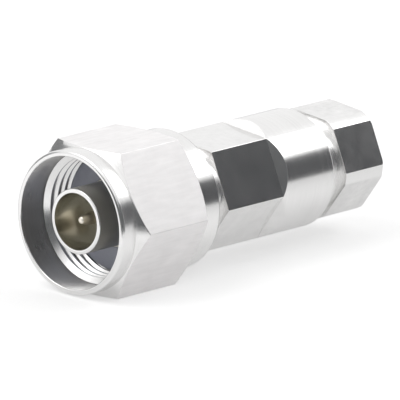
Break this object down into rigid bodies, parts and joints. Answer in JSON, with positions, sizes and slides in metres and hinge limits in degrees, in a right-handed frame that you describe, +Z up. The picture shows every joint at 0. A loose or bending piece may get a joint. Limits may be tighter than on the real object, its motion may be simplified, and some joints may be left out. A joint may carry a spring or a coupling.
{
  "type": "n type connector",
  "caption": "Coaxial cable plug with a hexagonal screw-on coupling nut, a centre pin in a sleeve, a flatted metal body and a screwed cable clamp nut.",
  "frame": {"origin": "on the axis at the front end of the outer contact (the mating plane)", "axes": "+X along the axis from the mating end to the cable end, +Z up, out of one of the coupling nut's flats"},
  "size_m": [0.0484, 0.0208, 0.018],
  "materials": {
    "nut_metal": "brushed nickel plate",
    "body_metal": "turned nickel plate, satin",
    "clamp_metal": "turned nickel plate, satin",
    "contact_metal": "bright plate",
    "pin_metal": "silver plate",
    "shell_metal": "nickel plate",
    "spring_bronze": "rolled",
    "ptfe": "turned",
    "grey_silicone": "matte",
    "black_rubber": "matte"
  },
  "bodies": {
    "connector_body": {"main_body": "body_metal", "front_shell": "shell_metal", "outer_contact": "contact_metal", "mating_gasket": "grey_silicone", "front_insulator": "ptfe", "rear_insulator": "ptfe", "insulator_ring": "shell_metal", "centre_contact": "pin_metal", "solder_bush": "ptfe", "coupling_snap_ring": "spring_bronze", "thrust_washer": "spring_bronze", "coupling_o_ring": "black_rubber", "shell_o_ring": "black_rubber", "braid_clamp": "shell_metal", "cable_gasket": "black_rubber"},
    "coupling_nut": {"coupling_nut": "nut_metal"},
    "clamp_washer": {"clamp_washer": "shell_metal"},
    "clamp_nut": {"clamp_nut": "clamp_metal", "clamp_nut_o_ring": "black_rubber"}
  },
  "joints": [
    {"name": "coupling_nut_turn", "type": "hinge", "parent": "connector_body", "child": "coupling_nut", "pos_m": [0, 0, 0], "axis": [1, 0, 0], "continuous": true},
    {"name": "clamp_nut_travel", "type": "slide", "parent": "connector_body", "child": "clamp_washer", "axis": [1, 0, 0], "range_m": [-0.0023, 0.004]},
    {"name": "clamp_nut_turn", "type": "hinge", "parent": "clamp_washer", "child": "clamp_nut", "pos_m": [0.0405, 0, 0], "axis": [1, 0, 0], "range_deg": [-828, 1440]}
  ],
  "couplings": [
    {"joint": "clamp_nut_travel", "follows": "clamp_nut_turn", "m_per_rad": 0.00015915}
  ]
}
